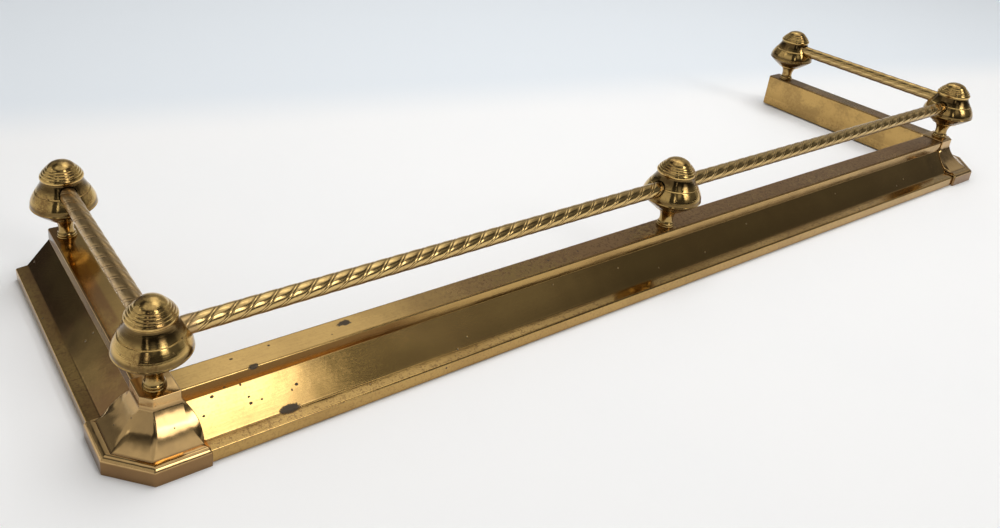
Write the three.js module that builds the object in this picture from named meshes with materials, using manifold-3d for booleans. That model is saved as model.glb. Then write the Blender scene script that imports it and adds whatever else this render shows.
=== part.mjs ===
// Brass fire fender: a low kerb of folded sheet on three sides of a hearth, cast corner pieces over the
// joints of the kerb, and five hollow finials that carry four twisted tube rails.
//
// Millimetres, +Z up. The origin is on the floor, at the middle of the fender's overall width and depth.
// +X runs along the front to the viewer's right, and +Y runs back towards the fireplace.
//
// Two kinds of local coordinates are used:
//   a section is (inset, height), with inset measured inwards from the outer face of the kerb foot;
//   a corner plan is (x, y), measured inwards from the point where the two outer faces would meet.

import * as THREE from "three";
import { mergeVertices } from "three/addons/utils/BufferGeometryUtils.js";
import Module from "manifold-3d";

// ---------------------------------------------------------------- driving dimensions

const fenderWidth = 1220; // over the outer faces of the kerb feet
const fenderDepth = 315; // from the front face of the foot to the back ends of the returns
const clearance = 0.3; // between pieces that are cut to one another
const overcut = 5; // how far a cutting tool runs past the face it opens

// kerb, folded from one strip of sheet
const sheet = 1.2;
const footHeight = 13.5;
const footFlange = 12; // turned in along the floor
const ledgeWidth = 11;
const slopeRun = 22;
const slopeRise = 23.5;
const bandHeight = 12;
const topWidth = 26;
const innerFaceGap = 1.6; // daylight under the inner face
const innerHem = 6; // turned in along the bottom of the inner face

// cast corner piece, a sleeve over the ends of two kerbs
const footProud = 2.6;
const bandProud = 1.5;
const platformProud = 1.4;
const castFootRadius = 5;
const castLedgeInset = 5.8;
const castBandHeight = 10.6;
const castWall = 2.3;
const coveSag = 3.1;
const coveSteps = 6;
const footChamfer = 30.6;
const ledgeChamfer = 23;
const platformChamfer = 8;
const footArm = 72; // from the outer corner to the end of the sleeve
const ledgeArm = 67;
const platformArm = 61.6;
const platformSkirt = 7.6; // depth of the small lip at the inner corner
const castEdge = 0.6; // thickness left at the thin end of the sleeve
const footEndBevel = 1;
const coveEndBevel = 5;
const platformEndBevel = 0.8;

// corner plate, under the tops of two kerbs
const plateThickness = 2.5;
const plateWidth = 22;
const plateArm = 110;

// finial
const finialInset = 46; // from the outer face of the kerb to the finial's axis
const backFinialSetback = 20; // from the back end of a return to the finial's axis
const bodyHeight = 40.6;
const bodyWidestRise = 16.7; // above the body's base
const bodyBaseRadius = 17.4;
const bodyRadius = 30.2;
const bodyWaistRadius = 18.8;
const bodyWall = 1.2;
const pedestalFootRadius = 9.4;
const pedestalFootHeight = 4.2;
const pedestalNeckRadius = 7;
const pedestalNeckHeight = 9.5;
const pedestalTopRadius = 12.4;
const capRimRadius = 19.9;
const capRimHeight = 3;
const capRingRadii = [18.9, 16, 12.2];
const capRingHeight = 3.8;
const capButtonRadius = 8.2;
const capButtonHeight = 3;
const capWall = 2;
const capBossRadius = 5.5;
const capSpigot = 1; // reaches down into the body's waist

// stud, washer and nut that clamp a finial down
const studRadius = 2.95;
const studTail = 4; // past the nut
const studReach = 9; // into the cap's boss
const nutAcrossFlats = 10;
const nutHeight = 5;
const washerRadius = 9;
const washerThickness = 1.2;

// twisted rail
const railRadius = 7.95;
const railBore = 6;
const grooveDepth = 1.05;
const railStarts = 3;
const railPitch = 51.6; // of one lobe's full turn
const railStepsPerTurn = 8;
const frontRailHeight = 97; // axis above the floor
const sideRailRise = 4.8; // above the front rails
const railInBody = 26.2; // a front rail's axis above the base of the centre finial's body
const railEndGap = 11; // from a finial's axis to the end of a rail
const railHoleRadius = 8.6;
const railSeatGap = 0.35; // under the rail, where it lies in its hole

// number of flats that stand for a circle
const bodySides = 16;
const holeSides = 16;
const pedestalSides = 12;
const studSides = 8;

// ---------------------------------------------------------------- worked-out places

const kerbHeight = footHeight + slopeRise + bandHeight;
const kerbWidth = ledgeWidth + slopeRun + topWidth;
const bandInset = ledgeWidth + slopeRun;
const slopeTop = footHeight + slopeRise;
const platformHeight = kerbHeight + platformProud;
const platformInset = bandInset - bandProud;
const outerX = fenderWidth / 2;
const backReach = fenderDepth + Math.max(0, bodyRadius - backFinialSetback);
const frontY = (footProud - backReach) / 2;
const frontAxisY = frontY + finialInset;
const backAxisY = frontY + fenderDepth - backFinialSetback;
const sideAxisX = outerX - finialInset;
const boreRadius = studRadius + clearance;
const sideRailHeight = frontRailHeight + sideRailRise;

// heights above a finial's seat
const bodyBase = frontRailHeight - railInBody - kerbHeight;
const bodyWidest = bodyBase + bodyWidestRise;
const bodyWaist = bodyBase + bodyHeight;

const brass = { color: 0xc19a4b, roughness: 0.32, metalness: 1 };
const castBrass = { color: 0xb9894f, roughness: 0.18, metalness: 1 };
const spunBrass = { color: 0xc9a24e, roughness: 0.16, metalness: 1 };
const steel = { color: 0x8b8a86, roughness: 0.45, metalness: 1 };

// ---------------------------------------------------------------- helpers

const wasm = await Module();
wasm.setup();

// A closed geometry as a solid that can be joined and cut.
function solidOf(geometry) {
  const bare = geometry.clone();
  bare.deleteAttribute("normal");
  bare.deleteAttribute("uv");
  const merged = mergeVertices(bare, 1e-4);
  return new wasm.Manifold(
    new wasm.Mesh({
      numProp: 3,
      vertProperties: new Float32Array(merged.attributes.position.array),
      triVerts: new Uint32Array(merged.index.array),
    }),
  );
}

// A solid back as a flat-shaded geometry.
function geometryOf(solid) {
  const { vertProperties, triVerts } = solid.getMesh();
  const indexed = new THREE.BufferGeometry();
  indexed.setAttribute("position", new THREE.BufferAttribute(new Float32Array(vertProperties), 3));
  indexed.setIndex(new THREE.BufferAttribute(new Uint32Array(triVerts), 1));
  const geometry = indexed.toNonIndexed();
  geometry.computeVertexNormals();
  return geometry;
}

function cut(geometry, ...tools) {
  return geometryOf(tools.reduce((rest, tool) => rest.subtract(solidOf(tool)), solidOf(geometry)));
}

function mesh(name, geometry, finish) {
  const piece = new THREE.Mesh(geometry, new THREE.MeshStandardMaterial(finish));
  piece.name = name;
  return piece;
}

function group(x, y, z, ...children) {
  const holder = new THREE.Group();
  holder.position.set(x, y, z);
  holder.add(...children);
  return holder;
}

// The same shape, left for right.
function mirrored(geometry) {
  const flipped = geometry.index ? geometry.toNonIndexed() : geometry.clone();
  flipped.scale(-1, 1, 1);
  const position = flipped.attributes.position;
  for (let i = 0; i < position.count; i += 3) {
    for (let axis = 0; axis < 3; axis += 1) {
      const second = position.getComponent(i + 1, axis);
      position.setComponent(i + 1, axis, position.getComponent(i + 2, axis));
      position.setComponent(i + 2, axis, second);
    }
  }
  flipped.computeVertexNormals();
  return flipped;
}

// A flat outline, drawn in plan and raised from one height to another.
function slab(points, bottom, top) {
  const outline = new THREE.Shape(points.map(([x, y]) => new THREE.Vector2(x, y)));
  const geometry = new THREE.ExtrudeGeometry(outline, { depth: top - bottom, bevelEnabled: false });
  return geometry.translate(0, 0, bottom);
}

// A round bar along Z.
function bar(radius, bottom, top, sides = studSides) {
  const geometry = new THREE.CylinderGeometry(radius, radius, top - bottom, sides);
  return geometry.rotateX(Math.PI / 2).translate(0, 0, (top + bottom) / 2);
}

// A turned shape from a closed profile of [radius, height] points, with its axis along Z.
function turned(profile, segments) {
  const points = profile.map(([radius, height]) => new THREE.Vector2(radius, height));
  points.push(points[0].clone());
  const geometry = new THREE.LatheGeometry(points, segments);
  geometry.rotateX(Math.PI / 2);
  return geometryOf(solidOf(geometry));
}

// A closed skin over rings of points. Every ring has the same number of points, and the first and
// the last ring are filled in plan.
function loft(rings) {
  const count = rings[0].length;
  const positions = rings.flat(2);
  const faces = [];
  for (let r = 0; r + 1 < rings.length; r += 1) {
    for (let i = 0; i < count; i += 1) {
      const a = r * count + i;
      const b = r * count + ((i + 1) % count);
      faces.push(a, b, b + count, a, b + count, a + count);
    }
  }
  const fill = (ring, base, down) => {
    const plan = ring.map(([x, y]) => new THREE.Vector2(x, y));
    for (const [a, b, c] of THREE.ShapeUtils.triangulateShape(plan, [])) {
      faces.push(base + a, base + (down ? c : b), base + (down ? b : c));
    }
  };
  fill(rings[0], 0, true);
  fill(rings[rings.length - 1], (rings.length - 1) * count, false);
  const geometry = new THREE.BufferGeometry();
  geometry.setAttribute("position", new THREE.Float32BufferAttribute(positions, 3));
  geometry.setIndex(faces);
  return geometry;
}

// Points moved square to the path by a distance to its right, with mitred corners.
function offsetPath(path, distance) {
  const normals = path.slice(1).map(([x, y], i) => {
    const along = new THREE.Vector2(x - path[i][0], y - path[i][1]).normalize();
    return new THREE.Vector2(along.y, -along.x);
  });
  return path.map(([x, y], i) => {
    const before = normals[Math.max(i - 1, 0)];
    const after = normals[Math.min(i, normals.length - 1)];
    const reach = distance / (1 + before.dot(after));
    return [x + (before.x + after.x) * reach, y + (before.y + after.y) * reach];
  });
}

// ---------------------------------------------------------------- levels of the cast corner piece

// Levels of the sleeve from the floor up. Each has its own inset and height, the length of its arm,
// the width of its chamfer, and the thin end of the sleeve: how far it runs on, and where it ends.
function castLevels() {
  const thin = clearance + castEdge;
  const ledgeHeight = footHeight + footProud;
  const levels = [];
  const add = (inset, height, arm, chamfer, bevel, endInset, endHeight) => {
    levels.push({ inset, height, arm, chamfer, bevel, endInset, endHeight });
  };
  add(-footProud, 0, footArm, footChamfer, footEndBevel, -thin, 0);
  const roundSteps = 3;
  for (let i = 0; i <= roundSteps; i += 1) {
    const turn = (i / roundSteps) * (Math.PI / 2);
    const inset = -footProud + castFootRadius * (1 - Math.cos(turn));
    const height = ledgeHeight - castFootRadius * (1 - Math.sin(turn));
    const share = i / roundSteps;
    const arm = footArm - (footArm - ledgeArm) * 0.4 * share;
    const chamfer = footChamfer - (2 - Math.SQRT2) * (inset + footProud);
    const endInset = THREE.MathUtils.lerp(-thin, castFootRadius - footProud, share);
    const endHeight = Math.min(height - thin / 2, footHeight + thin);
    add(inset, height, arm, chamfer, footEndBevel, endInset, endHeight);
  }
  const ledgeEnd = castLedgeInset + footProud;
  add(castLedgeInset, ledgeHeight, ledgeArm, ledgeChamfer, footEndBevel * 2, ledgeEnd, footHeight + thin);
  const bandFoot = platformHeight - castBandHeight;
  const slope = new THREE.Vector2(slopeRise, -slopeRun).normalize();
  for (let i = 1; i <= coveSteps; i += 1) {
    const share = i / coveSteps;
    const sag = coveSag * 4 * share * (1 - share);
    const inset = THREE.MathUtils.lerp(castLedgeInset, platformInset, share) + slope.x * sag;
    const height = THREE.MathUtils.lerp(ledgeHeight, bandFoot, share) + slope.y * sag;
    const arm = THREE.MathUtils.lerp(ledgeArm, platformArm, share);
    const chamfer = THREE.MathUtils.lerp(ledgeChamfer, platformChamfer, share);
    const bevel = footEndBevel * 2 + (coveEndBevel - footEndBevel * 2) * Math.sin(Math.PI * share);
    const alongSlope = THREE.MathUtils.lerp(0.08, 1, share);
    const endInset = ledgeWidth + slopeRun * alongSlope - slope.x * thin;
    const endHeight = footHeight + slopeRise * alongSlope - slope.y * thin;
    add(inset, height, arm, chamfer, bevel, endInset, endHeight);
  }
  const bandTop = platformHeight - castEdge;
  add(platformInset, bandTop, platformArm, platformChamfer, platformEndBevel, bandInset - thin, kerbHeight);
  return levels;
}

const levels = castLevels();

// How far the chamfered face's inner side is from the corner, as x + y.
const chamferReach = ({ inset, chamfer }) => 2 * inset + chamfer + castWall * Math.SQRT2;

// The inset of the kerb's slope or band at a height.
function kerbInset(height) {
  const share = (height - footHeight) / slopeRise;
  return ledgeWidth + slopeRun * THREE.MathUtils.clamp(share, 0, 1);
}

// The folded sheet of a kerb stops here below its top, clear of the chamfered face.
const roomAtLevel = (level) => chamferReach(level) - kerbInset(level.height - castWall);
const kerbEndInset = Math.max(...levels.map(roomAtLevel)) + clearance;

// ---------------------------------------------------------------- kerb

// The outside of the kerb from the floor, over the top and down its inner face.
const kerbFace = [
  [0, 0],
  [0, footHeight],
  [ledgeWidth, footHeight],
  [bandInset, slopeTop],
  [bandInset, kerbHeight],
  [kerbWidth, kerbHeight],
  [kerbWidth, innerFaceGap],
];

// The folded strip, with the flange and the hem that are turned in under it.
function kerbSection() {
  const outside = [[footFlange, 0], ...kerbFace, [kerbWidth - innerHem, innerFaceGap]];
  const inside = offsetPath(outside, sheet).reverse();
  return new THREE.Shape([...outside, ...inside].map(([x, y]) => new THREE.Vector2(x, y)));
}

// A section extruded along +X from start to end, with its inset along +Y.
function alongX(shape, start, end) {
  const geometry = new THREE.ExtrudeGeometry(shape, { depth: end - start, bevelEnabled: false });
  const axes = new THREE.Matrix4().makeBasis(
    new THREE.Vector3(0, 1, 0),
    new THREE.Vector3(0, 0, 1),
    new THREE.Vector3(1, 0, 0),
  );
  return geometry.applyMatrix4(axes).translate(start, 0, 0);
}

// A section extruded along +Y from start to end, with its inset along +X.
function alongY(shape, start, end) {
  const geometry = new THREE.ExtrudeGeometry(shape, { depth: end - start, bevelEnabled: false });
  const axes = new THREE.Matrix4().makeBasis(
    new THREE.Vector3(1, 0, 0),
    new THREE.Vector3(0, 0, 1),
    new THREE.Vector3(0, -1, 0),
  );
  return geometry.applyMatrix4(axes).translate(0, end, 0);
}

// What a kerb along X loses at its left corner: the end of the folded strip under the sleeve, and
// everything past the mitre. The swapped plan does the same for the return.
const kerbEndWaste = [
  [-overcut, -overcut],
  [kerbEndInset, -overcut],
  [kerbEndInset, bandInset],
  [(kerbEndInset + bandInset + clearance) / 2, (kerbEndInset + bandInset - clearance) / 2],
  [kerbWidth + overcut + clearance, kerbWidth + overcut],
  [-overcut, kerbWidth + overcut],
];
const swapped = (plan) => plan.map(([x, y]) => [y, x]).reverse();

function cornerTool(plan) {
  return slab(plan, -overcut, kerbHeight + overcut);
}

function frontKerb() {
  const length = fenderWidth;
  const studHole = bar(boreRadius, slopeTop, kerbHeight + overcut).translate(0, finialInset, 0);
  const leftHole = studHole.clone().translate(finialInset - outerX, 0, 0);
  const leftWaste = cornerTool(kerbEndWaste).translate(-outerX, 0, 0);
  return cut(
    alongX(kerbSection(), -length / 2, length / 2),
    leftWaste,
    mirrored(leftWaste),
    studHole,
    leftHole,
    mirrored(leftHole),
  );
}

function leftReturnKerb() {
  const studHole = bar(boreRadius, slopeTop, kerbHeight + overcut).translate(finialInset, finialInset, 0);
  const backHole = studHole.clone().translate(0, fenderDepth - backFinialSetback - finialInset, 0);
  return cut(
    alongY(kerbSection(), 0, fenderDepth),
    cornerTool(swapped(kerbEndWaste)),
    studHole,
    backHole,
  );
}

// ---------------------------------------------------------------- cast corner piece

// What a kerb fills under its outer faces, with the clearance added, over a width of its own.
function kerbEnvelope(width) {
  const outline = [[0, -overcut], ...kerbFace.slice(1, -2), [width, kerbHeight], [width, -overcut]];
  return new THREE.Shape(offsetPath(outline, -clearance).map(([x, y]) => new THREE.Vector2(x, y)));
}

// One ring of the sleeve's outside in plan, closed round a corner that lies inside the kerbs.
function castRing({ inset, height, arm, chamfer, bevel, endInset, endHeight }) {
  const end = arm + bevel;
  const core = kerbWidth - sheet;
  return [
    [core, core, height],
    [core, end, endHeight],
    [endInset, end, endHeight],
    [inset, arm, height],
    [inset, inset + chamfer, height],
    [inset + chamfer, inset, height],
    [arm, inset, height],
    [end, endInset, endHeight],
    [end, core, endHeight],
  ];
}

// The space behind the chamfered face, one wall's thickness in.
function behindChamfer() {
  const far = footArm * 3;
  const ring = (line, height) => [
    [-far, line + far, height],
    [line + far, -far, height],
    [far, far, height],
  ];
  const ledge = levels.find((level) => level.inset === castLedgeInset);
  const above = levels.slice(levels.indexOf(ledge));
  return loft([
    ring(chamferReach(levels[0]), -overcut),
    ring(chamferReach(levels[0]), footHeight - sheet),
    ...above.map((level) => ring(chamferReach(level), level.height - castWall)),
    ring(chamferReach(levels.at(-1)), platformHeight + overcut),
  ]);
}

function leftCasting() {
  const near = platformInset;
  const far = platformArm;
  const platform = slab(
    [[near + platformChamfer, near], [far, near], [far, far], [near, far], [near, near + platformChamfer]],
    platformHeight - platformSkirt,
    platformHeight,
  );
  const sleeve = solidOf(loft(levels.map(castRing))).add(solidOf(platform));
  const run = footArm + coveEndBevel + overcut;
  const underX = (width) => solidOf(alongX(kerbEnvelope(width), -overcut, run));
  const underY = (width) => solidOf(alongY(kerbEnvelope(width), -overcut, run));
  const overFront = underX(kerbWidth).intersect(underY(run));
  const overReturn = underY(kerbWidth).intersect(underX(run));
  const hollow = overFront.add(overReturn).intersect(solidOf(behindChamfer()));
  const studHole = bar(boreRadius, kerbHeight - overcut, platformHeight + overcut);
  studHole.translate(finialInset, finialInset, 0);
  return geometryOf(sleeve.subtract(hollow).subtract(solidOf(studHole)));
}

// The plate under the tops of the two kerbs at a corner, which the finial's nut pulls up.
function leftCornerPlate() {
  const near = bandInset + (topWidth - plateWidth) / 2;
  const far = near + plateWidth;
  const nick = kerbEndInset - bandInset;
  const top = kerbHeight - sheet;
  const outline = [
    [near + nick, near],
    [plateArm, near],
    [plateArm, far],
    [far, far],
    [far, plateArm],
    [near, plateArm],
    [near, near + nick],
  ];
  const studHole = bar(boreRadius, top - plateThickness - overcut, top + overcut);
  return cut(slab(outline, top - plateThickness, top), studHole.translate(finialInset, finialInset, 0));
}

// ---------------------------------------------------------------- finial, from its seat up

function pedestalGeometry() {
  const foot = pedestalFootRadius;
  const neck = pedestalNeckRadius;
  const flare = new THREE.SplineCurve([
    new THREE.Vector2(neck, pedestalNeckHeight),
    new THREE.Vector2(neck + (pedestalTopRadius - neck) * 0.4, bodyBase - 5),
    new THREE.Vector2(pedestalTopRadius, bodyBase - 1.6),
  ]);
  return turned(
    [
      [boreRadius, 0],
      [foot, 0],
      [foot, pedestalFootHeight * 0.5],
      [foot - 0.8, pedestalFootHeight * 0.6],
      [foot - 0.8, pedestalFootHeight],
      [neck + 0.4, pedestalFootHeight + 1.4],
      ...flare.getPoints(4).map(({ x, y }) => [x, y]),
      [pedestalTopRadius, bodyBase],
      [boreRadius, bodyBase],
    ],
    pedestalSides,
  );
}

// The onion-shaped shell, open below for the stud and at the waist for the cap.
function bodyShell() {
  const lowerHeight = THREE.MathUtils.lerp(bodyBase, bodyWidest, 0.28);
  const lowerRadius = THREE.MathUtils.lerp(bodyBaseRadius, bodyRadius, 0.64);
  const upperHeight = (bodyWidest + bodyWaist) / 2;
  const upperRadius = (bodyRadius + bodyWaistRadius) / 2;
  const belly = new THREE.SplineCurve([
    new THREE.Vector2(bodyBaseRadius, bodyBase + 0.8),
    new THREE.Vector2(lowerRadius, lowerHeight),
    new THREE.Vector2(bodyRadius, bodyWidest),
    new THREE.Vector2(upperRadius, upperHeight),
    new THREE.Vector2(bodyWaistRadius, bodyWaist - 1.2),
  ]);
  const sampled = (count) => belly.getPoints(count).map(({ x, y }) => [x, y]);
  const inside = offsetPath(sampled(5), -bodyWall).reverse();
  return turned(
    [
      [bodyBaseRadius - 1, bodyBase],
      ...sampled(9),
      [bodyWaistRadius, bodyWaist],
      [bodyWaistRadius - bodyWall, bodyWaist],
      ...inside.slice(0, -1),
      [bodyBaseRadius - 1, bodyBase + bodyWall],
      [boreRadius, bodyBase + bodyWall],
      [boreRadius, bodyBase],
    ],
    bodySides,
  );
}

// The shell with a hole for each rail. A rail lies on the lower edge of its hole.
function bodyGeometry(rails) {
  const rise = railHoleRadius - railRadius - railSeatGap;
  const reach = bodyRadius + overcut;
  const holes = rails.map(({ turn, height }) => {
    const hole = bar(railHoleRadius, boreRadius, reach, holeSides).rotateY(Math.PI / 2);
    return hole.rotateZ(turn).translate(0, 0, height + rise);
  });
  return cut(bodyShell(), ...holes);
}

// The ringed dome: a spun shell with a boss in it that takes the stud.
function capGeometry() {
  const rimTop = bodyWaist + capRimHeight;
  const innerRadii = [...capRingRadii.slice(1), capButtonRadius];
  const rings = capRingRadii.flatMap((radius, i) => {
    const foot = rimTop + i * capRingHeight;
    return [
      [radius, foot],
      [radius - 0.5, foot + capRingHeight * 0.4],
      [innerRadii[i] + 1, foot + capRingHeight * 0.85],
    ];
  });
  const button = rimTop + capRingRadii.length * capRingHeight;
  const spigotRadius = bodyWaistRadius - bodyWall - clearance;
  const roof = button - capWall;
  const pocketTop = bodyWaist + studReach + clearance;
  return turned(
    [
      [bodyWaistRadius, bodyWaist],
      [capRimRadius, bodyWaist + capRimHeight * 0.3],
      [capRimRadius, bodyWaist + capRimHeight * 0.7],
      ...rings,
      [capButtonRadius, button],
      [capButtonRadius * 0.8, button + capButtonHeight * 0.6],
      [capButtonRadius * 0.4, button + capButtonHeight * 0.92],
      [0, button + capButtonHeight],
      [0, pocketTop],
      [boreRadius, pocketTop],
      [boreRadius, bodyWaist],
      [capBossRadius, bodyWaist],
      [capBossRadius, roof],
      [capButtonRadius, roof],
      [spigotRadius - capWall, rimTop],
      [spigotRadius - capWall, bodyWaist - capSpigot],
      [spigotRadius, bodyWaist - capSpigot],
      [spigotRadius, bodyWaist],
    ],
    bodySides,
  );
}

// A finial on its seat, with what holds it down. grip is the thickness that the nut clamps.
function finial(name, x, y, seat, grip, rails) {
  const washerTop = -grip;
  const nutTop = washerTop - washerThickness;
  const nutFoot = nutTop - nutHeight;
  const hexRadius = nutAcrossFlats / Math.sqrt(3);
  const localRails = rails.map(({ turn, height }) => ({ turn, height: height - seat }));
  const washer = cut(bar(washerRadius, nutTop, washerTop, pedestalSides), bar(boreRadius, nutFoot, 0));
  const nut = cut(bar(hexRadius, nutFoot, nutTop, 6), bar(boreRadius, nutFoot - overcut, nutTop + overcut));
  return group(
    x,
    y,
    seat,
    mesh(`${name}_pedestal`, pedestalGeometry(), spunBrass),
    mesh(`${name}_body`, bodyGeometry(localRails), spunBrass),
    mesh(`${name}_cap`, capGeometry(), spunBrass),
    mesh(`${name}_stud`, bar(studRadius, nutFoot - studTail, bodyWaist + studReach), steel),
    mesh(`${name}_washer`, washer, steel),
    mesh(`${name}_nut`, nut, steel),
  );
}

// ---------------------------------------------------------------- twisted rail

// A tube along X with rounded lobes that wind round it, and a plain bore.
function railGeometry(length) {
  const lobe = [
    [0, grooveDepth],
    [0.16, grooveDepth / 4],
    [0.5, 0],
    [0.84, grooveDepth / 4],
  ];
  const steps = Math.ceil((length / railPitch) * railStepsPerTurn);
  const rings = [];
  for (let i = 0; i <= steps; i += 1) {
    const along = (i / steps - 0.5) * length;
    const ring = [];
    for (let start = 0; start < railStarts; start += 1) {
      for (const [share, depth] of lobe) {
        const angle = ((start + share) / railStarts - along / railPitch) * 2 * Math.PI;
        const radius = railRadius - depth;
        ring.push([radius * Math.cos(angle), radius * Math.sin(angle), along]);
      }
    }
    rings.push(ring);
  }
  const reach = length / 2 + overcut;
  return cut(loft(rings), bar(railBore, -reach, reach, holeSides)).rotateY(Math.PI / 2);
}

function rail(name, from, to, height) {
  const start = new THREE.Vector3(...from, height);
  const span = new THREE.Vector3(...to, height).sub(start);
  const length = span.length() - 2 * railEndGap;
  const piece = mesh(name, railGeometry(length), brass);
  piece.rotation.z = Math.atan2(span.y, span.x);
  piece.position.copy(start).addScaledVector(span, 0.5);
  return piece;
}

// ---------------------------------------------------------------- assembly

const fender = new THREE.Group();

const leftReturn = leftReturnKerb();
const casting = leftCasting();
const plate = leftCornerPlate();
fender.add(
  group(0, frontY, 0, mesh("front_kerb", frontKerb(), brass)),
  group(
    -outerX,
    frontY,
    0,
    mesh("left_return_kerb", leftReturn, brass),
    mesh("left_corner_casting", casting, castBrass),
    mesh("left_corner_plate", plate, steel),
  ),
  group(
    outerX,
    frontY,
    0,
    mesh("right_return_kerb", mirrored(leftReturn), brass),
    mesh("right_corner_casting", mirrored(casting), castBrass),
    mesh("right_corner_plate", mirrored(plate), steel),
  ),
);

const toRight = { turn: 0, height: frontRailHeight };
const toLeft = { turn: Math.PI, height: frontRailHeight };
const toBack = { turn: Math.PI / 2, height: sideRailHeight };
const toFront = { turn: -Math.PI / 2, height: sideRailHeight };
const cornerGrip = platformHeight - (kerbHeight - sheet - plateThickness);
fender.add(
  finial("front_left_finial", -sideAxisX, frontAxisY, platformHeight, cornerGrip, [toRight, toBack]),
  finial("front_right_finial", sideAxisX, frontAxisY, platformHeight, cornerGrip, [toLeft, toBack]),
  finial("centre_finial", 0, frontAxisY, kerbHeight, sheet, [toLeft, toRight]),
  finial("back_left_finial", -sideAxisX, backAxisY, kerbHeight, sheet, [toFront]),
  finial("back_right_finial", sideAxisX, backAxisY, kerbHeight, sheet, [toFront]),
);

const frontLeft = [-sideAxisX, frontAxisY];
const frontRight = [sideAxisX, frontAxisY];
const centre = [0, frontAxisY];
fender.add(
  rail("front_left_rail", frontLeft, centre, frontRailHeight),
  rail("front_right_rail", centre, frontRight, frontRailHeight),
  rail("left_side_rail", frontLeft, [-sideAxisX, backAxisY], sideRailHeight),
  rail("right_side_rail", frontRight, [sideAxisX, backAxisY], sideRailHeight),
);

export default fender;
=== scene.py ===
import math
from collections import namedtuple
import bpy
import bmesh
from mathutils import Matrix, Vector


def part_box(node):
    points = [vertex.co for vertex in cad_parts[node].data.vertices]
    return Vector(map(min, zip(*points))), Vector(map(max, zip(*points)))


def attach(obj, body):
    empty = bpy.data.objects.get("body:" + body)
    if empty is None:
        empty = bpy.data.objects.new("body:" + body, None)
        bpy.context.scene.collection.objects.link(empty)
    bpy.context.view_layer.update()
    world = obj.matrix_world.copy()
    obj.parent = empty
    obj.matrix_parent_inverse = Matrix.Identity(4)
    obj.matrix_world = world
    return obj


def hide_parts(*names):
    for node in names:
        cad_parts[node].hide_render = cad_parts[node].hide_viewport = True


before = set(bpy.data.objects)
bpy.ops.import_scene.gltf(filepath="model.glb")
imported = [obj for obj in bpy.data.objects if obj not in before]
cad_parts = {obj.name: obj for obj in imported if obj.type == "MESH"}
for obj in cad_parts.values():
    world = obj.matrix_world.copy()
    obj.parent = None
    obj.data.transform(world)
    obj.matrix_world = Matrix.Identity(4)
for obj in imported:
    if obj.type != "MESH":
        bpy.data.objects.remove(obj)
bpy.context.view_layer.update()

# ------------------------------------------------------------------ kerbs
# The kerb is one strip of brass sheet, folded to a foot, a ledge, a slope, an upright band and a flat
# top. One length runs along the front and one along each side. All lie open below, and the mitred ends
# of the front length are out of sight inside the corner castings. Lengths are in millimetres.

MM = 0.001
SHEET = 1.2
FOOT_HEIGHT = 13.5
FLANGE = 12
LEDGE_WIDTH, LEDGE_FALL = 11, 1
SLOPE_RUN, SLOPE_RISE = 22, 23.5
BAND_INSET = LEDGE_WIDTH + SLOPE_RUN
KERB_TOP = 49
KERB_WIDTH = 59
HEM, HEM_HEIGHT = 6, 1.6
# inset from the outer face, height, and the radius of the bend there
KERB_BENDS = [
    (FLANGE, 0, 0),
    (0, 0, 1.6),
    (0, FOOT_HEIGHT - LEDGE_FALL, 1.8),
    (LEDGE_WIDTH, FOOT_HEIGHT, 1.5),
    (BAND_INSET, FOOT_HEIGHT + SLOPE_RISE, 0.8),
    (BAND_INSET, KERB_TOP, 1.9),
    (KERB_WIDTH, KERB_TOP, 1.9),
    (KERB_WIDTH, HEM_HEIGHT, 1.6),
    (KERB_WIDTH - HEM, HEM_HEIGHT, 0),
]
MITRE_GAP = 0.3
SLEEVED_END = 41.55
BEND_STEPS = 5
# a bend's arc takes up at most this share of the flats beside it, and keeps a short flat next to it
ARC_SHARE = 0.45
ARC_FLAT = 0.25
# lengths that a kerb is drawn in; an odd number leaves the middle hole clear of their joints
KERB_CUTS = 41
INSIDE_SHADE = 0.6

front_low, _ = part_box("front_kerb")
return_low, return_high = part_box("left_return_kerb")
FRONT_Y = front_low.y / MM
OUTER_X = -return_low.x / MM
BACK_Y = return_high.y / MM


def rounded(corners, radii, steps):
    """The corners of an open line, each turned into an arc, with a point on the flat beside each arc."""
    line = []
    for i, corner in enumerate(corners):
        if i in (0, len(corners) - 1):
            line.append(corner.copy())
            continue
        before = (corner - corners[i - 1]).normalized()
        after = (corners[i + 1] - corner).normalized()
        half = before.angle(after, 0) / 2
        room = ARC_SHARE * min((corner - corners[i - 1]).length, (corners[i + 1] - corner).length)
        flat = min(ARC_FLAT, room * 0.2)
        tangent = min(radii[i] * math.tan(half), room - flat)
        radius = tangent / math.tan(half)
        inward = (after - before).normalized()
        along = (after + before).normalized()
        centre = corner + inward * (radius / math.cos(half))
        line.append(corner - before * (tangent + flat))
        for step in range(steps + 1):
            angle = half * (2 * step / steps - 1)
            line.append(centre - inward * radius * math.cos(angle) + along * radius * math.sin(angle))
        line.append(corner + after * (tangent + flat))
    return line


def shifted(corners, distance):
    """A plan line moved square to itself, to its right, with mitred corners."""
    normals = []
    for a, b in zip(corners, corners[1:]):
        along = (b - a).normalized()
        normals.append(Vector((along.y, -along.x)))
    moved = []
    for i, corner in enumerate(corners):
        before = normals[max(i - 1, 0)]
        after = normals[min(i, len(normals) - 1)]
        moved.append(corner + (before + after) * (distance / (1 + before.dot(after))))
    return moved


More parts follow.
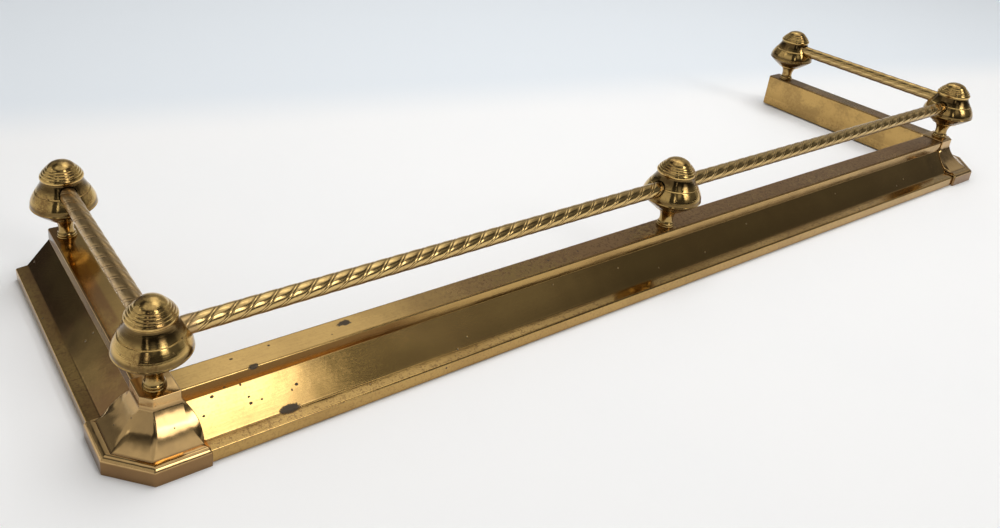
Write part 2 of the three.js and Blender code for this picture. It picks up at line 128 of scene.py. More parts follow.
def hollows(line, reach=1.6):
    """How hidden each point of a line is, from 0 on flats and ridges to 1 deep in a corner. The open side
    is on the left."""
    lengths = [0.0]
    for a, b in zip(line, line[1:]):
        lengths.append(lengths[-1] + (b - a).length)

    def at(distance):
        distance = min(max(distance, 0), lengths[-1])
        for i in range(len(line) - 1):
            if lengths[i + 1] >= distance:
                share = (distance - lengths[i]) / max(lengths[i + 1] - lengths[i], 1e-9)
                return line[i].lerp(line[i + 1], share)
        return line[-1]

    depth = []
    for i, point in enumerate(line):
        before, after = at(lengths[i] - reach), at(lengths[i] + reach)
        along = after - before
        left = Vector((-along.y, along.x)).normalized()
        depth.append(min(max(((before + after) / 2 - point).dot(left) / (reach * 0.5), 0), 1))
    return depth


def piece(name, points, faces, marks=None, crease=34):
    """An object from points in millimetres. marks holds one number for each point, by attribute name."""
    mesh = bpy.data.meshes.new(name)
    mesh.from_pydata([tuple(c * MM for c in point) for point in points], [], faces)
    for title, values in (marks or {}).items():
        mesh.attributes.new(title, "FLOAT", "POINT").data.foreach_set("value", values)
    tidy = bmesh.new()
    tidy.from_mesh(mesh)
    bmesh.ops.recalc_face_normals(tidy, faces=tidy.faces)
    tidy.to_mesh(mesh)
    tidy.free()
    mesh.shade_smooth()
    mesh.set_sharp_from_angle(angle=math.radians(crease))
    made = bpy.data.objects.new(name, mesh)
    bpy.context.scene.collection.objects.link(made)
    return made


def bar(bottom, top, radius, sides=48):
    """A plain round cutter between two points."""
    bottom, top = Vector(bottom), Vector(top)
    turn = (top - bottom).to_track_quat("Z", "Y")
    points = []
    for centre in (bottom, top):
        for i in range(sides):
            angle = 2 * math.pi * i / sides
            points.append(centre + turn @ Vector((radius * math.cos(angle), radius * math.sin(angle), 0)))
    faces = [[i, (i + 1) % sides, sides + (i + 1) % sides, sides + i] for i in range(sides)]
    faces += [list(range(sides))[::-1], list(range(sides, 2 * sides))]
    return piece("cutter", points, faces)


def combined(body, tool, operation="DIFFERENCE", crease=34):
    """Cuts tool from body, or joins the two, and removes the tool."""
    change = body.modifiers.new("cut", "BOOLEAN")
    change.operation = operation
    change.solver = "EXACT"
    change.object = tool
    bpy.context.view_layer.update()
    done = bpy.data.meshes.new_from_object(body.evaluated_get(bpy.context.evaluated_depsgraph_get()))
    body.modifiers.clear()
    body.data = done
    body.data.set_sharp_from_angle(angle=math.radians(crease))
    bpy.data.objects.remove(tool)
    return body


def kerb_line():
    """The bent sheet's section as two lines, outside and inside, that run side by side."""
    corners = [Vector((inset, height)) for inset, height, _ in KERB_BENDS]
    outer = [radius for _, _, radius in KERB_BENDS]
    inner = []
    for i, radius in enumerate(outer):
        if i in (0, len(outer) - 1):
            inner.append(0)
            continue
        before, after = corners[i] - corners[i - 1], corners[i + 1] - corners[i]
        outward_bend = before.x * after.y - before.y * after.x < 0
        inner.append(max(radius - SHEET, 0.3) if outward_bend else radius + SHEET)
    return rounded(corners, outer, BEND_STEPS), rounded(shifted(corners, SHEET), inner, BEND_STEPS)


def kerb_end(inset):
    """How far the front kerb stops short of the outer corner at an inset: square inside the casting, and
    mitred where it shows."""
    if inset <= BAND_INSET:
        return SLEEVED_END
    return max(SLEEVED_END - (inset - BAND_INSET), inset + MITRE_GAP)


def swept_kerb(name, place, ends):
    """A kerb whose section points sit at place(distance along, inset, height), between two ends that
    depend on the inset."""
    outside, inside = kerb_line()
    skin = outside + inside[::-1]
    shade = hollows(outside) + [INSIDE_SHADE] * len(inside)
    count = len(skin)
    points = []
    for cut in range(KERB_CUTS + 1):
        for point in skin:
            start, end = ends(point.x)
            points.append(place(start + (end - start) * cut / KERB_CUTS, point.x, point.y))
    faces = []
    for cut in range(KERB_CUTS):
        for i in range(count):
            a, b = cut * count + i, cut * count + (i + 1) % count
            faces.append([a, b, b + count, a + count])
    for base in (0, KERB_CUTS * count):
        for i in range(len(outside) - 1):
            faces.append([base + i, base + i + 1, base + count - 2 - i, base + count - 1 - i])
    return piece(name, points, faces, {"crevice": shade * (KERB_CUTS + 1)})


STUD_BORE = 3.25
FINIAL_INSET = 46
BACK_FINIAL_SETBACK = 20
FRONT_AXIS_Y = FRONT_Y + FINIAL_INSET
SIDE_AXIS_X = OUTER_X - FINIAL_INSET
BACK_AXIS_Y = BACK_Y - BACK_FINIAL_SETBACK


def stud_hole(x, y, low, high):
    """A cutter for the hole that a finial's stud passes through."""
    return bar((x, y, low), (x, y, high), STUD_BORE, 24)


front_kerb = swept_kerb(
    "front_kerb_sheet",
    lambda along, inset, height: (along, FRONT_Y + inset, height),
    lambda inset: (kerb_end(inset) - OUTER_X, OUTER_X - kerb_end(inset)),
)
for x in (-SIDE_AXIS_X, 0, SIDE_AXIS_X):
    combined(front_kerb, stud_hole(x, FRONT_AXIS_Y, KERB_TOP - 6, KERB_TOP + 4))
kerbs = {"front_kerb": front_kerb}
for side, name in ((-1, "left_return_kerb"), (1, "right_return_kerb")):
    kerbs[name] = swept_kerb(
        f"{name}_sheet",
        lambda along, inset, height: (side * (OUTER_X - inset), along, height),
        lambda inset: (FRONT_Y + kerb_end(inset), BACK_Y),
    )
    for y in (FRONT_AXIS_Y, BACK_AXIS_Y):
        combined(kerbs[name], stud_hole(side * SIDE_AXIS_X, y, KERB_TOP - 6, KERB_TOP + 4))


class Wire:
    """A socket of a shader tree. Sums on it add the nodes that work them out: Math nodes for numbers, and
    Vector Math nodes for colours and vectors."""

    def __init__(self, tree, socket=None):
        self.tree = tree
        self.socket = socket

    def node(self, kind, settings=None, inputs=None, output=0):
        """Adds a node, sets it up, then fills its sockets, and returns one of its outputs."""
        made = self.tree.nodes.new(kind)
        for title, value in (settings or {}).items():
            setattr(made, title, value)
        for title, value in (inputs or {}).items():
            socket = made.inputs[title]
            if isinstance(value, Wire):
                self.tree.links.new(value.socket, socket)
            elif socket.type == "RGBA" and len(value) == 3:
                socket.default_value = (*value, 1)
            else:
                socket.default_value = value
        return Wire(self.tree, made.outputs[output] if made.outputs else None)

    def maths(self, operation, *terms):
        """One sum of wires and numbers. A number beside a colour or a vector counts for all its parts."""
        kinds = [term.socket.type if isinstance(term, Wire) else type(term) for term in terms]
        if not {"VECTOR", "RGBA", tuple} & set(kinds):
            return self.node("ShaderNodeMath", {"operation": operation}, dict(enumerate(terms)))
        spread = [(term,) * 3 if isinstance(term, (int, float)) else term for term in terms]
        return self.node("ShaderNodeVectorMath", {"operation": operation}, dict(enumerate(spread)))

    def __add__(self, other):
        return self.maths("ADD", self, other)

    def __radd__(self, other):
        return self.maths("ADD", other, self)

    def __sub__(self, other):
        return self.maths("SUBTRACT", self, other)

    def __rsub__(self, other):
        return self.maths("SUBTRACT", other, self)

    def __mul__(self, other):
        return self.maths("MULTIPLY", self, other)

    def __rmul__(self, other):
        return self.maths("MULTIPLY", other, self)

    def step(self, low, high):
        """0 below low, 1 above high, and a smooth rise between. low may be the higher number."""
        sockets = {"Value": self, "From Min": low, "From Max": high}
        return self.node("ShaderNodeMapRange", {"interpolation_type": "SMOOTHSTEP"}, sockets)

    def mix(self, first, second):
        """first where this is 0, second where it is 1, for colours."""
        return self.node(
            "ShaderNodeMix", {"data_type": "RGBA"}, {"Factor": self, 6: first, 7: second}, output=2
        )

    def part(self, axis):
        """The X, Y or Z of this place or direction."""
        return self.node("ShaderNodeSeparateXYZ", {}, {0: self}, axis)

    def noise(self, scale, detail=3.0, roughness=0.55):
        """Cloudy noise about 0.5 at this place."""
        sockets = {"Vector": self, "Scale": scale, "Detail": detail, "Roughness": roughness}
        return self.node("ShaderNodeTexNoise", {}, sockets)

    def specks(self, scale, size, share):
        """1 inside small round specks, of which there is one in a share of the cells."""
        sockets = {"Vector": self, "Scale": scale}
        near = self.node("ShaderNodeTexVoronoi", {}, sockets, "Distance").step(size, size * 0.5)
        draw = self.node("ShaderNodeTexVoronoi", {}, sockets, "Color")
        draw = self.node("ShaderNodeSeparateColor", {}, {0: draw}).step(1 - share, 1.02 - share)
        return near * draw


def finish(colour, roughness, metallic=1.0, height=None):
    """Closes the material whose tree holds colour. height, in metres, feeds the bump."""
    sockets = {"Base Color": colour, "Roughness": roughness, "Metallic": metallic}
    if height is not None:
        bump = {"Strength": 1.0, "Distance": 1.0, "Height": height}
        sockets["Normal"] = colour.node("ShaderNodeBump", {}, bump)
    shader = colour.node("ShaderNodeBsdfPrincipled", {}, sockets)
    colour.node("ShaderNodeOutputMaterial", {}, {"Surface": shader})


def new_tree(name):
    """An empty material, and the wire that its first nodes hang on."""
    material = bpy.data.materials.new(name)
    material.use_nodes = True
    material.node_tree.nodes.clear()
    return material, Wire(material.node_tree)


CLEAN_BRASS = (0.62, 0.41, 0.145)
DULL_BRASS = (0.46, 0.29, 0.105)
BROWN_TARNISH = (0.32, 0.185, 0.080)
DARK_TARNISH = (0.16, 0.090, 0.040)
SHADED_FOLD = (0.16, 0.09, 0.035)
LOWER_SLOPE_SHADE = (0.34, 0.22, 0.08)
RUSTY_BLOOM = (0.34, 0.17, 0.075)
OLD_PATINA = (0.24, 0.16, 0.07)
UPRIGHT_SHADE = (0.30, 0.17, 0.05)
CORNER_BAND_SHADE = (0.16, 0.075, 0.02)
RETURN_BAND_SHADE = (0.05, 0.035, 0.020)
BARE_PIT = (0.060, 0.050, 0.042)
# x, y and height of each place where the lacquer has gone, its size across, and how many times as long
KERB_BLOTCHES = [
    (-466.7, -149.8, 14.1, 4.0, 2.4),
    (-396.8, -111.0, 49.0, 3.6, 1.8),
    (-488.7, -127.3, 49.0, 2.8, 1.6),
    (-500.5, -111.3, 49.0, 1.0, 1.5),
    (-524.4, -130.2, 35.0, 1.2, 1.3),
    (-496.2, -136.4, 28.4, 0.9, 1.3),
    (-496.1, -139.9, 24.6, 1.0, 1.3),
    (-486.6, -139.8, 24.7, 0.8, 1.3),
    (-455.4, -138.3, 26.3, 1.1, 1.3),
    (-534.3, -138.3, 26.3, 0.8, 1.3),
]

kerb_brass, start = new_tree("aged_sheet_brass")
place = start.node("ShaderNodeTexCoord", output="Object")
across, level = place.part("X"), place.part("Z")
facing = start.node("ShaderNodeTexCoord", output="Normal").part("Z")
crevice = start.node("ShaderNodeAttribute", {"attribute_name": "crevice"}, output="Fac")
cloud = place.noise(14, 3)
grain = place.noise(260, 4, 0.65)
fleck = place.noise(520, 2, 0.6)
streak = (place * (6.0, 60.0, 60.0)).noise(9, 4)
haze = place.noise(6.5, 2).step(0.46, 0.60)
colour = (cloud * 0.8 + streak * 0.25).step(0.35, 0.85).mix(CLEAN_BRASS, DULL_BRASS)
# brown tarnish covers the top, from a little right of the left corner on
on_top = level.step(0.0476, 0.0484)
tarnish = on_top * across.step(-0.37, -0.20) * (cloud + grain * 0.9).step(0.62, 0.98)
colour = (tarnish * 0.9).mix(colour, BROWN_TARNISH)
# fine speckle, strongest on the foot and the ledge
foot = level.step(0.0155, 0.0125)
speckle = (grain * 0.6 + fleck * 0.5).step(0.55, 0.68)
colour = (speckle * (0.08 + foot * 0.5)).mix(colour, BROWN_TARNISH)
colour = (speckle * tarnish * 0.7).mix(colour, DARK_TARNISH)
# painted shade: the lower part of the slope is darker and warmer
lower_slope = level.step(0.030, 0.016) * level.step(0.0142, 0.0150)
colour = (lower_slope * 0.45).mix(colour, LOWER_SLOPE_SHADE)
# the left return is rustier, and the right one has an olive patina
rusty = across.step(-0.560, -0.564) * level.step(0.012, 0.014) * (cloud + grain * 0.3).step(0.50, 0.75)
colour = (rusty * 0.7).mix(colour, RUSTY_BLOOM)
patina = across.step(0.50, 0.52) * (place.noise(20, 4) + grain * 0.35).step(0.60, 0.78)
colour = (patina * 0.6).mix(colour, OLD_PATINA)
# painted shade in the hollows of the bends, and on the whole inside of the sheet
colour = (crevice * 0.55).mix(colour, SHADED_FOLD)
# painted shade: the upright faces are darker, the band most of all near the left corner and along the
# left return
upright = facing.step(0.5, 0.12)
colour = (upright * 0.36).mix(colour, UPRIGHT_SHADE)
corner_band = upright * level.step(0.030, 0.036) * across.step(-0.31, -0.36)
colour = (corner_band * 0.85).mix(colour, CORNER_BAND_SHADE)
return_band = corner_band * across.step(-0.560, -0.566)
colour = (return_band * 0.7).mix(colour, RETURN_BAND_SHADE)
pits = place.specks(150, 0.20, 0.05)
for x, y, z, size, stretch in KERB_BLOTCHES:
    reach = (place - (x * MM, y * MM, z * MM)) * (1000 / size / stretch, 1000 / size, 1000 / size)
    away = start.node("ShaderNodeVectorMath", {"operation": "LENGTH"}, {0: reach}, "Value")
    pits = start.maths("MAXIMUM", pits, (away + grain * 1.6).step(1.85, 1.55))
colour = (pits * 0.88).mix(colour, BARE_PIT)
roughness = 0.08 + cloud * 0.03 + streak * 0.02 + haze * 0.05
roughness = roughness + tarnish * 0.2 + speckle * 0.03 + pits * 0.4
metallic = 1 - pits * 0.5 - tarnish * 0.12
waves = place.noise(14, 2) * 0.0004 + streak * 0.00003
finish(colour, roughness, metallic, waves + grain * 0.000012 - pits * 0.00012)

for node, kerb in kerbs.items():
    kerb.data.materials.append(kerb_brass)
    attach(kerb, "fender")
    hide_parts(node)

# ------------------------------------------------------------------ corner castings
# A cast and polished brass sleeve covers each mitre of the kerbs. Its foot is rounded, its faces are
# hollowed like a cove, a chamfer crosses the corner, and a flat platform on top carries a finial.

FOOT_PROUD = 2.6
BAND_PROUD = 1.5
PLATFORM_PROUD = 1.4
CAST_FOOT_RADIUS = 5
CAST_LEDGE_INSET = 5.8
CAST_BAND_HEIGHT = 10.6
CAST_WALL = 2.3
CAST_EDGE = 0.6
COVE_SAG = 3.1
FOOT_CHAMFER, LEDGE_CHAMFER, PLATFORM_CHAMFER = 30.6, 23, 8
FOOT_ARM, LEDGE_ARM, PLATFORM_ARM = 72, 67, 61.6
# the arms' ends are waisted beside the cove, and bevelled
ARM_WAIST = 2.5
FOOT_BEVEL, LEDGE_BEVEL, COVE_BEVEL, PLATFORM_BEVEL = 1, 2, 2.3, 0.8
WAIST_BEVEL = 5.2
# the radii of the arrises, and what polishing has added to the chamfer's, on the side and on the front
FOOT_ARRIS, LEDGE_ARRIS, BAND_ARRIS, RIM_ARRIS = 1.6, 1.4, 0.9, 0.7
SIDE_SOFTNESS, FRONT_SOFTNESS = 11, 7.5
END_ROUNDS = (0.2, 0.4, 0.7)
FOOT_STEPS, COVE_STEPS, RIM_STEPS = 7, 18, 4
LEDGE_DROP = 0.5
PLATFORM_INSET = BAND_INSET - BAND_PROUD
PLATFORM_SKIRT = 7.6
PLATFORM_ROUND = 0.9
PLATFORM_TOP = KERB_TOP + PLATFORM_PROUD
CAST_LEDGE = FOOT_HEIGHT + FOOT_PROUD
CAST_CORE = KERB_WIDTH - SHEET
THIN_END = MITRE_GAP + CAST_EDGE
LEAST_STEP = 0.02
CAST_CREASE = 30

# one level of the sleeve: where its outline runs, the length of its arms along the kerbs, its chamfer,
# the bevel and place of its thin ends, the radii of the chamfer's arrises, and where its inner corner is
Level = namedtuple("Level", "inset height arm chamfer bevel end_inset end_height arrises core")


def between(a, b, share):
    """The number at a share of the way from a to b."""
    return a + (b - a) * share


def foot_levels():
    """The foot's upright face, the quarter round over it, and the ledge."""
    arrises = (FOOT_ARRIS, FOOT_ARRIS)
    levels = [
        Level(-FOOT_PROUD, 0, FOOT_ARM, FOOT_CHAMFER, FOOT_BEVEL, -THIN_END, 0, arrises, CAST_CORE)
    ]
    for i in range(FOOT_STEPS + 1):
        share = i / FOOT_STEPS
        turn = share * math.pi / 2
        inset = -FOOT_PROUD + CAST_FOOT_RADIUS * (1 - math.cos(turn))
        height = CAST_LEDGE - CAST_FOOT_RADIUS * (1 - math.sin(turn))
        arm = between(FOOT_ARM, LEDGE_ARM, 0.4 * share)
        chamfer = FOOT_CHAMFER - (2 - math.sqrt(2)) * (inset + FOOT_PROUD)
        end = between(-THIN_END, CAST_FOOT_RADIUS - FOOT_PROUD, share)
        end_height = min(height - THIN_END / 2, FOOT_HEIGHT + THIN_END)
        levels.append(Level(inset, height, arm, chamfer, FOOT_BEVEL, end, end_height, arrises, CAST_CORE))
    outline = (LEDGE_ARM, LEDGE_CHAMFER, LEDGE_BEVEL)
    thin_end = (CAST_LEDGE_INSET + FOOT_PROUD, FOOT_HEIGHT + THIN_END)
    arrises = (FOOT_ARRIS, LEDGE_ARRIS)
    for back, drop in ((0.5, 0), (0.1, LEDGE_DROP / 2)):
        place = (CAST_LEDGE_INSET - back, CAST_LEDGE - drop)
        levels.append(Level(*place, *outline, *thin_end, arrises, CAST_CORE))
    return levels


def cove_levels():
    """The hollowed faces, from the ledge up to the foot of the band."""
    levels = []
    band_foot = PLATFORM_TOP - CAST_BAND_HEIGHT
    slope = Vector((SLOPE_RISE, -SLOPE_RUN)).normalized()
    for i in range(COVE_STEPS + 1):
        share = i / COVE_STEPS
        sag = COVE_SAG * 4 * share * (1 - share)
        inset = between(CAST_LEDGE_INSET, PLATFORM_INSET, share) + slope.x * sag
        height = between(CAST_LEDGE - LEDGE_DROP, band_foot, share) + slope.y * sag
        waist = math.sin(math.pi * share)
        arm = between(LEDGE_ARM + 2, PLATFORM_ARM + 1, share) - ARM_WAIST * waist
        chamfer = between(LEDGE_CHAMFER, PLATFORM_CHAMFER, share)
        bevel = COVE_BEVEL + WAIST_BEVEL * waist
        along = between(0.08, 1, share)
        end = LEDGE_WIDTH + SLOPE_RUN * along - slope.x * THIN_END
        end_height = FOOT_HEIGHT + SLOPE_RISE * along - slope.y * THIN_END
        side_arris = LEDGE_ARRIS + SIDE_SOFTNESS * waist
        softened = FRONT_SOFTNESS * (1 - share) * min(1, 5 * share)
        arrises = (side_arris, between(LEDGE_ARRIS, BAND_ARRIS, share) + softened)
        levels.append(Level(inset, height, arm, chamfer, bevel, end, end_height, arrises, CAST_CORE))
    return levels


def platform_levels(cove_end_height):
    """The band, with the small lip at its inner corner, and the platform's rounded rim."""
    levels = []
    skirt = PLATFORM_TOP - PLATFORM_SKIRT
    skirt_end = between(cove_end_height, KERB_TOP, 0.4)
    round_foot = PLATFORM_TOP - PLATFORM_ROUND
    outline = (PLATFORM_ARM, PLATFORM_CHAMFER, PLATFORM_BEVEL, BAND_INSET - THIN_END)
    arrises = (BAND_ARRIS, BAND_ARRIS)
    band = [(skirt, skirt_end, CAST_CORE), (skirt + LEAST_STEP / 2, skirt_end, PLATFORM_ARM)]
    band.append((round_foot - 0.3, KERB_TOP, PLATFORM_ARM))
    for height, end_height, core in band:
        levels.append(Level(PLATFORM_INSET, height, *outline, end_height, arrises, core))
    for i in range(RIM_STEPS + 1):
        turn = i / RIM_STEPS * math.pi / 2
        back = PLATFORM_ROUND * (1 - math.cos(turn))
        height = round_foot + PLATFORM_ROUND * math.sin(turn)
        inset, arm = PLATFORM_INSET + back, PLATFORM_ARM - back
        chamfer = PLATFORM_CHAMFER - back * 0.6
        levels.append(Level(inset, height, arm, chamfer, 0, inset, height, (RIM_ARRIS, RIM_ARRIS), arm))
    return levels


def cast_ring(level, inside):
    """One level's outline, from the inner corner round the outside and back, with rounded arrises. inside
    is the height of its inner corner."""
    end = level.arm + max(level.bevel, LEAST_STEP)
    half = [
        Vector((level.core, level.core, inside)),
        Vector((level.core, end, inside)),
        Vector((level.end_inset + LEAST_STEP / 2, end, level.end_height)),
        Vector((level.inset, level.arm, level.height)),
        Vector((level.inset, level.inset + level.chamfer, level.height)),
    ]
    swap = [Vector((point.y, point.x, point.z)) for point in half[:0:-1]]
    radii = [0, *END_ROUNDS, *level.arrises, *END_ROUNDS[::-1], 0]
    return rounded(half + swap + [half[0]], radii, 4)[:-1]


def lofted(name, rings, marks=None, crease=34):
    """A closed skin over rings of points, with its first and last rings filled."""
    count = len(rings[0])
    faces = []
    for r in range(len(rings) - 1):
        for i in range(count):
            a, b = r * count + i, r * count + (i + 1) % count
            faces.append([a, b, b + count, a + count])
    faces += [list(range(count))[::-1], list(range((len(rings) - 1) * count, len(rings) * count))]
    return piece(name, [point for ring in rings for point in ring], faces, marks, crease)


def extruded(section, start, end, along_x):
    """A closed section of inset and height, drawn out along one side of a corner."""
    rings = []
    for reach in (start, end):
        rings.append([(reach, s.x, s.y) if along_x else (s.x, reach, s.y) for s in section])
    return lofted("cutter", rings)


def under_kerb(width, along_x):
    """What one kerb fills under the sleeve, with the gap between them."""
    corners = [(0, -5), (0, FOOT_HEIGHT), (LEDGE_WIDTH, FOOT_HEIGHT)]
    corners += [(BAND_INSET, FOOT_HEIGHT + SLOPE_RISE), (BAND_INSET, KERB_TOP)]
    corners += [(width, KERB_TOP), (width, -5)]
    section = shifted([Vector(corner) for corner in corners], -MITRE_GAP)
    return extruded(section, -5, FOOT_ARM + 10, along_x)


def behind_chamfer(levels):
    """All that lies one wall's thickness behind the chamfered face."""
    far = 220

    def line_behind(level):
        return 2 * level.inset + level.chamfer + CAST_WALL * math.sqrt(2)

    heights = [(line_behind(levels[0]), -5), (line_behind(levels[0]), FOOT_HEIGHT - SHEET)]
    for level in levels:
        if level.inset >= CAST_LEDGE_INSET:
            heights.append((line_behind(level), level.height - CAST_WALL))
    heights.append((line_behind(levels[-1]), PLATFORM_TOP + 5))
    rising = [heights[0]]
    for line, height in heights[1:]:
        if height > rising[-1][1] + 0.05:
            rising.append((line, height))
    rings = []
    for line, height in rising:
        rings.append([(-far, line + far, height), (line + far, -far, height), (far, far, height)])
    return lofted("cutter", rings)


def corner_casting(name):
    """The sleeve at a corner whose outer faces meet at the origin."""
    levels = foot_levels() + cove_levels()
    levels += platform_levels(levels[-1].end_height)
    rings = []
    inside = -1
    for level in levels:
        inside = max(level.end_height, inside + LEAST_STEP)
        rings.append(cast_ring(level, inside))
    shade = hollows([Vector((level.inset, level.height)) for level in levels], 2.2)
    marks = [value for value in shade for _ in rings[0]]
    sleeve = lofted(name, rings, {"crevice": marks}, CAST_CREASE)
    run = FOOT_ARM + 10
    hollow = combined(under_kerb(KERB_WIDTH, True), under_kerb(run, False), "INTERSECT")
    other = combined(under_kerb(KERB_WIDTH, False), under_kerb(run, True), "INTERSECT")
    hollow = combined(hollow, other, "UNION")
    hollow = combined(hollow, behind_chamfer(levels), "INTERSECT")
    combined(sleeve, hollow, crease=CAST_CREASE)
    hole = stud_hole(FINIAL_INSET, FINIAL_INSET, KERB_TOP - 5, PLATFORM_TOP + 5)
    return combined(sleeve, hole, crease=CAST_CREASE)


def set_down(made, x, y, mirror=False):
    """Moves a mesh to its place, left for right where mirror is true."""
    flip = -1 if mirror else 1
    made.data.transform(Matrix.Translation((x * MM, y * MM, 0)) @ Matrix.Diagonal((flip, 1, 1, 1)))
    if mirror:
        made.data.flip_normals()
    return made


ROSE_BRASS = (0.67, 0.44, 0.185)
DULL_ROSE = (0.52, 0.34, 0.15)
CAST_SHADOW = (0.20, 0.11, 0.05)

cast_brass, start = new_tree("polished_cast_brass")
place = start.node("ShaderNodeTexCoord", output="Object")
crevice = start.node("ShaderNodeAttribute", {"attribute_name": "crevice"}, output="Fac")
cloud = place.noise(34, 3)
grain = place.noise(420, 3, 0.6)
colour = cloud.step(0.35, 0.75).mix(ROSE_BRASS, DULL_ROSE)
colour = (crevice.step(0.12, 0.7) * 0.75).mix(colour, CAST_SHADOW)
pits = place.specks(190, 0.17, 0.08)
colour = (pits * 0.7).mix(colour, BARE_PIT)
upright = start.node("ShaderNodeTexCoord", output="Normal").part("Z").step(0.42, 0.1)
low = place.part("Z").step(0.0160, 0.0125)
colour = (upright * low * 0.85).mix(colour, CAST_SHADOW)
roughness = 0.07 + cloud * 0.06 + grain * 0.05 + crevice * 0.25 + pits * 0.4 + low * 0.05
height = place.noise(38, 2) * 0.0007 + grain * 0.000012 - pits * 0.0001
finish(colour, roughness, height=height)

for side in ("left", "right"):
    casting = corner_casting(f"{side}_corner_cast")
    right = side == "right"
    set_down(casting, OUTER_X if right else -OUTER_X, FRONT_Y, mirror=right)
    casting.data.materials.append(cast_brass)
    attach(casting, "fender")
    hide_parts(f"{side}_corner_casting")

# ------------------------------------------------------------------ finials
# Five brass finials stand over the corners, the back ends and the middle of the front. Each is a turned
# pedestal, a hollow body spun from sheet with a hole for each rail, and a ringed dome cap.

PEDESTAL_TOP = 21.8
BODY_TOP = 62.4
BOSS_TOP = 71.7
# each outline is given in radius and height above the seat, in runs that are smooth within
PEDESTAL = [
    [(STUD_BORE, 0), (9.0, 0)],
    [(9.35, 0.4), (9.45, 1.2), (9.2, 2.1)],
    [(8.6, 2.5), (8.65, 3.4), (8.5, 4.3)],
    [(7.7, 5.0), (7.25, 6.4), (7.05, 8.6), (7.3, 12), (8.4, 15.8), (10.2, 19.2)],
    [(12.2, 20.3), (12.5, 21.0), (12.3, PEDESTAL_TOP)],
    [(STUD_BORE, PEDESTAL_TOP)],
]
BODY_OUTSIDE = [
    [(14.6, PEDESTAL_TOP), (15.9, 22.2), (16.5, 23.0)],
    [(17.2, 23.7), (21.0, 26.4), (25.0, 29.6), (28.3, 32.5), (29.8, 34.2)],
    [(30.4, 34.7), (30.8, 35.4), (30.5, 36.1)],
    [(30.3, 36.5), (30.35, 38.2), (29.8, 40.8), (28.6, 43.9), (27.0, 47.0), (25.4, 49.6)],
    [(25.05, 50.15), (24.45, 50.5), (24.5, 51.1)],
    [(24.1, 51.6), (22.6, 53.9), (21.1, 56.2), (19.9, 58.6), (19.1, 60.8), (18.9, BODY_TOP)],
]
BODY_INSIDE = [
    [
        (17.7, BODY_TOP), (17.9, 60.5), (18.7, 58.2), (19.9, 55.8),
        (21.4, 53.3), (23.1, 50.6), (25.1, 47.4), (27.0, 43.8),
    ],
    [(28.4, 40.4), (29.1, 37.9), (28.7, 35.6), (26.9, 33.3), (23.8, 30.6), (19.9, 27.5), (15.2, 24.2)],
    [(STUD_BORE, PEDESTAL_TOP + 1.4), (STUD_BORE, PEDESTAL_TOP)],
]
CAP_OUTSIDE = [
    [(17.2, BODY_TOP), (18.7, BODY_TOP + 0.05)],
    [(19.4, 62.75), (19.9, 63.7), (19.95, 64.9), (19.5, 66.1), (18.7, 67.0)],
    [(18.4, 67.35), (18.1, 68.4), (17.3, 69.2)],
    [(16.85, 69.5), (16.4, 70.5), (15.5, 71.3)],
    [(15.0, 71.6), (14.4, 72.6), (13.4, 73.35)],
    [(12.9, 73.8), (12.0, 75.1), (10.3, 76.6), (7.9, 77.9), (4.6, 78.9), (0.0, 79.3)],
]
CAP_INSIDE = [
    [(0.0, BOSS_TOP)],
    [(STUD_BORE, BOSS_TOP), (STUD_BORE, BODY_TOP)],
    [(5.5, BODY_TOP), (5.5, 74.2)],
    [(8.2, 74.2), (14.9, 65.4), (14.9, BODY_TOP - 1)],
    [(17.2, BODY_TOP - 1)],
]
TURN_STEPS = 72


def drawn(runs, steps=3):
    """One line through runs of points. Within a run the line is smooth, and between runs it breaks."""
    line = []
    for run in runs:
        points = [Vector(point) for point in run]
        for i in range(len(points) - 1):
            before = points[max(i - 1, 0)]
            a, b = points[i], points[i + 1]
            after = points[min(i + 2, len(points) - 1)]
            count = steps if len(points) > 2 else 1
            for step in range(count):
                t = step / count
                square = (2 * before - 5 * a + 4 * b - after) * t**2
                cube = (3 * a - before - 3 * b + after) * t**3
                line.append(0.5 * (2 * a + (b - before) * t + square + cube))
        line.append(points[-1])
    return line


def turned(name, line, x, y, seat, crease=34):
    """A solid turned from a closed line of radius and height, with its axis at x and y."""
    shade = hollows(line[::-1], 1.4)[::-1]
    points, faces, marks, wound = [], [], [], []
    rings = []
    run = 0.0
    for i, spot in enumerate(line):
        run += (spot - line[i - 1]).length if i else 0
        sides = 1 if spot.x < 1e-6 else TURN_STEPS
        rings.append((len(points), sides))
        for step in range(sides):
            angle = 2 * math.pi * step / TURN_STEPS
            points.append((x + spot.x * math.cos(angle), y + spot.x * math.sin(angle), seat + spot.y))
            marks.append(shade[i])
            wound.append(run)
    for (base, sides), (above, above_sides) in zip(rings, rings[1:] + rings[:1]):
        for step in range(TURN_STEPS):
            ahead = (step + 1) % TURN_STEPS
            if sides == 1 and above_sides == 1:
                continue
            if sides == 1:
                faces.append([base, above + ahead, above + step])
            elif above_sides == 1:
                faces.append([base + step, base + ahead, above])
            else:
                faces.append([base + step, base + ahead, above + ahead, above + step])
    return piece(name, points, faces, {"crevice": marks, "lathe": wound}, crease)


FRONT_RAIL_HEIGHT = 97
SIDE_RAIL_HEIGHT = 101.8
RAIL_RADIUS = 7.95
HOLE_RADIUS = 8.6
HOLE_RISE = 0.3
EAST, NORTH, WEST, SOUTH = (1, 0), (0, 1), (-1, 0), (0, -1)
FINIALS = {
    "front_left_finial": (-SIDE_AXIS_X, FRONT_AXIS_Y, PLATFORM_TOP, (EAST, NORTH)),
    "front_right_finial": (SIDE_AXIS_X, FRONT_AXIS_Y, PLATFORM_TOP, (WEST, NORTH)),
    "centre_finial": (0, FRONT_AXIS_Y, KERB_TOP, (WEST, EAST)),
    "back_left_finial": (-SIDE_AXIS_X, BACK_AXIS_Y, KERB_TOP, (SOUTH,)),
    "back_right_finial": (SIDE_AXIS_X, BACK_AXIS_Y, KERB_TOP, (SOUTH,)),
}

